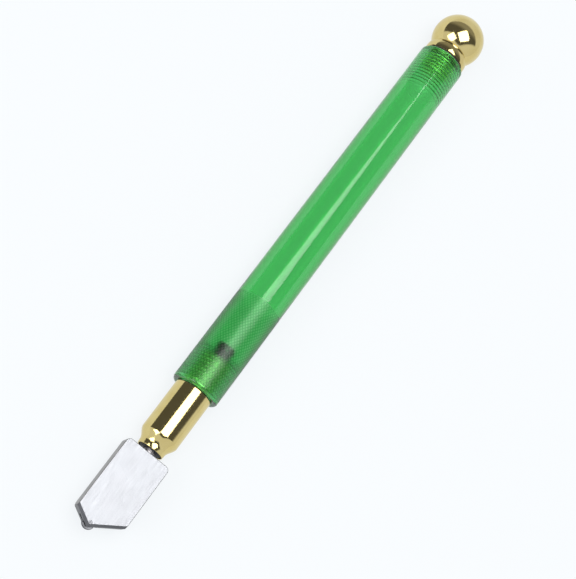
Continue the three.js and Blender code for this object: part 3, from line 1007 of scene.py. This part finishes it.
corners = [(-FLOOR_HALF, -FLOOR_HALF, FLOOR_Z), (FLOOR_HALF, -FLOOR_HALF, FLOOR_Z),
           (FLOOR_HALF, FLOOR_HALF, FLOOR_Z), (-FLOOR_HALF, FLOOR_HALF, FLOOR_Z)]
floor = mesh_object("floor", corners, [(0, 1, 2, 3)], row=False)
floor.data.materials.append(pale_floor())


class Sky:
    """The studio round the tool, as brightness by direction in the tool's frame"""

    def __init__(self):
        self.world = bpy.data.worlds.new("studio")
        bpy.context.scene.world = self.world
        self.world.use_nodes = True
        self.tree = self.world.node_tree
        coordinates = self.tree.nodes.new("ShaderNodeTexCoord")
        self.direction = coordinates.outputs["Generated"]

    def link(self, a, b):
        self.tree.links.new(a, b)

    def beyond(self, direction, low, high):
        """0 to 1 as the view's share along a direction goes from low to high"""
        dot = self.tree.nodes.new("ShaderNodeVectorMath")
        dot.operation = "DOT_PRODUCT"
        self.link(self.direction, dot.inputs[0])
        dot.inputs[1].default_value = AXIS * direction[0] + SIDE * direction[1] + UP * direction[2]
        step = self.tree.nodes.new("ShaderNodeMapRange")
        step.interpolation_type = "SMOOTHSTEP"
        step.inputs["From Min"].default_value, step.inputs["From Max"].default_value = low, high
        self.link(dot.outputs["Value"], step.inputs["Value"])
        return step.outputs["Result"]

    def both(self, a, b):
        node = self.tree.nodes.new("ShaderNodeMath")
        node.operation = "MULTIPLY"
        self.link(a, node.inputs[0])
        self.link(b, node.inputs[1])
        return node.outputs[0]

    def over(self, below, where, color):
        """color laid over what is below, where the mask says"""
        node = self.tree.nodes.new("ShaderNodeMix")
        node.data_type = "RGBA"
        self.link(where, node.inputs[0])
        if isinstance(below, tuple):
            node.inputs[6].default_value = (*below, 1)
        else:
            self.link(below, node.inputs[6])
        node.inputs[7].default_value = (*color, 1)
        return node.outputs[2]


GAP = (0.115, 0.115, 0.12)
CEILING = (0.33, 0.33, 0.34)
WALL = (0.86, 0.88, 0.92)
BACKDROP = (0.896, 0.93, 0.982)

# What the pieces reflect: a dark gap, and paler patches beyond some directions
sky = Sky()
shade = sky.over(GAP, sky.beyond((1, 0, 0), 0.36, 0.62), CEILING)
shade = sky.over(shade, sky.beyond((0.94, -0.34, -1), 0.14, 0.26), WALL)
past_head = sky.beyond((-0.985, 0.174, 0), 0.25, 0.36)
head_side = sky.both(past_head, sky.beyond((0, 0, -1), -0.78, -0.7))
shade = sky.over(shade, head_side, WALL)
shade = sky.over(shade, sky.beyond((-0.6, -0.8, 0), 0.5, 0.62), WALL)
path = sky.tree.nodes.new("ShaderNodeLightPath")
shade = sky.over(shade, path.outputs["Is Camera Ray"], BACKDROP)
sky.link(shade, sky.tree.nodes["Background"].inputs["Color"])

LAMP_TURN = math.radians(-38)


def softbox(name, target, direction, distance, spread, radiance):
    """A square light of that radiance, facing target, whose half width has a tangent of spread"""
    size = (2 * spread * distance,) * 2
    data = bpy.data.lights.new(name, "AREA")
    data.shape, data.size, data.size_y = "RECTANGLE", size[0], size[1]
    data.energy = radiance * math.pi * size[0] * size[1]
    lamp = bpy.data.objects.new(name, data)
    bpy.context.scene.collection.objects.link(lamp)
    back = (AXIS * direction[0] + SIDE * direction[1] + UP * direction[2]).normalized()
    level = AXIS * math.cos(LAMP_TURN) + SIDE * math.sin(LAMP_TURN)
    across = (level - back * level.dot(back)).normalized()
    turn = Matrix((across, back.cross(across), back)).transposed()
    lamp.matrix_world = Matrix.Translation(target + back * distance) @ turn.to_4x4()


ball_centre = row_point(BALL_X, 0, 0)
softbox("overhead", ball_centre, (0.03, 0.0, 1.0), 1.25, 0.39, 4.5)
softbox("rear_side", ball_centre, (-0.46, 0.62, 0.64), 2.4, 0.28, 3.6)

# The camera's distance and aim are in millimetres of the tool's frame, its lens and sensor in
# millimetres of their own
CAMERA_TILT = math.radians(21.0)
CAMERA_ROLL = math.radians(10.3)
IMAGE_TURN = math.radians(53.27)
CAMERA_DISTANCE = 406.7
CAMERA_AIM = (79.45, 3.51)
LENS = 99.48
SENSOR = 36.0

lean = UP * math.cos(CAMERA_ROLL) + SIDE * math.sin(CAMERA_ROLL)
forward = AXIS * math.sin(CAMERA_TILT) - lean * math.cos(CAMERA_TILT)
along = AXIS * math.cos(CAMERA_TILT) + lean * math.sin(CAMERA_TILT)
across = UP * math.sin(CAMERA_ROLL) - SIDE * math.cos(CAMERA_ROLL)
right = along * math.cos(IMAGE_TURN) + across * math.sin(IMAGE_TURN)
camera_up = along * math.sin(IMAGE_TURN) - across * math.cos(IMAGE_TURN)
camera_data = bpy.data.cameras.new("camera")
camera_data.lens, camera_data.sensor_width = LENS, SENSOR
camera_data.clip_start, camera_data.clip_end = 0.01, 50.0
camera = bpy.data.objects.new("camera", camera_data)
bpy.context.scene.collection.objects.link(camera)
spot = row_point(CAMERA_AIM[0], 0, 0) + (across * CAMERA_AIM[1] - forward * CAMERA_DISTANCE) * MM
camera_turn = Matrix((right, camera_up, -forward)).transposed()
camera.matrix_world = Matrix.Translation(spot) @ camera_turn.to_4x4()
bpy.context.scene.camera = camera
bpy.context.scene.view_settings.view_transform = "Standard"

bpy.context.view_layer.update()
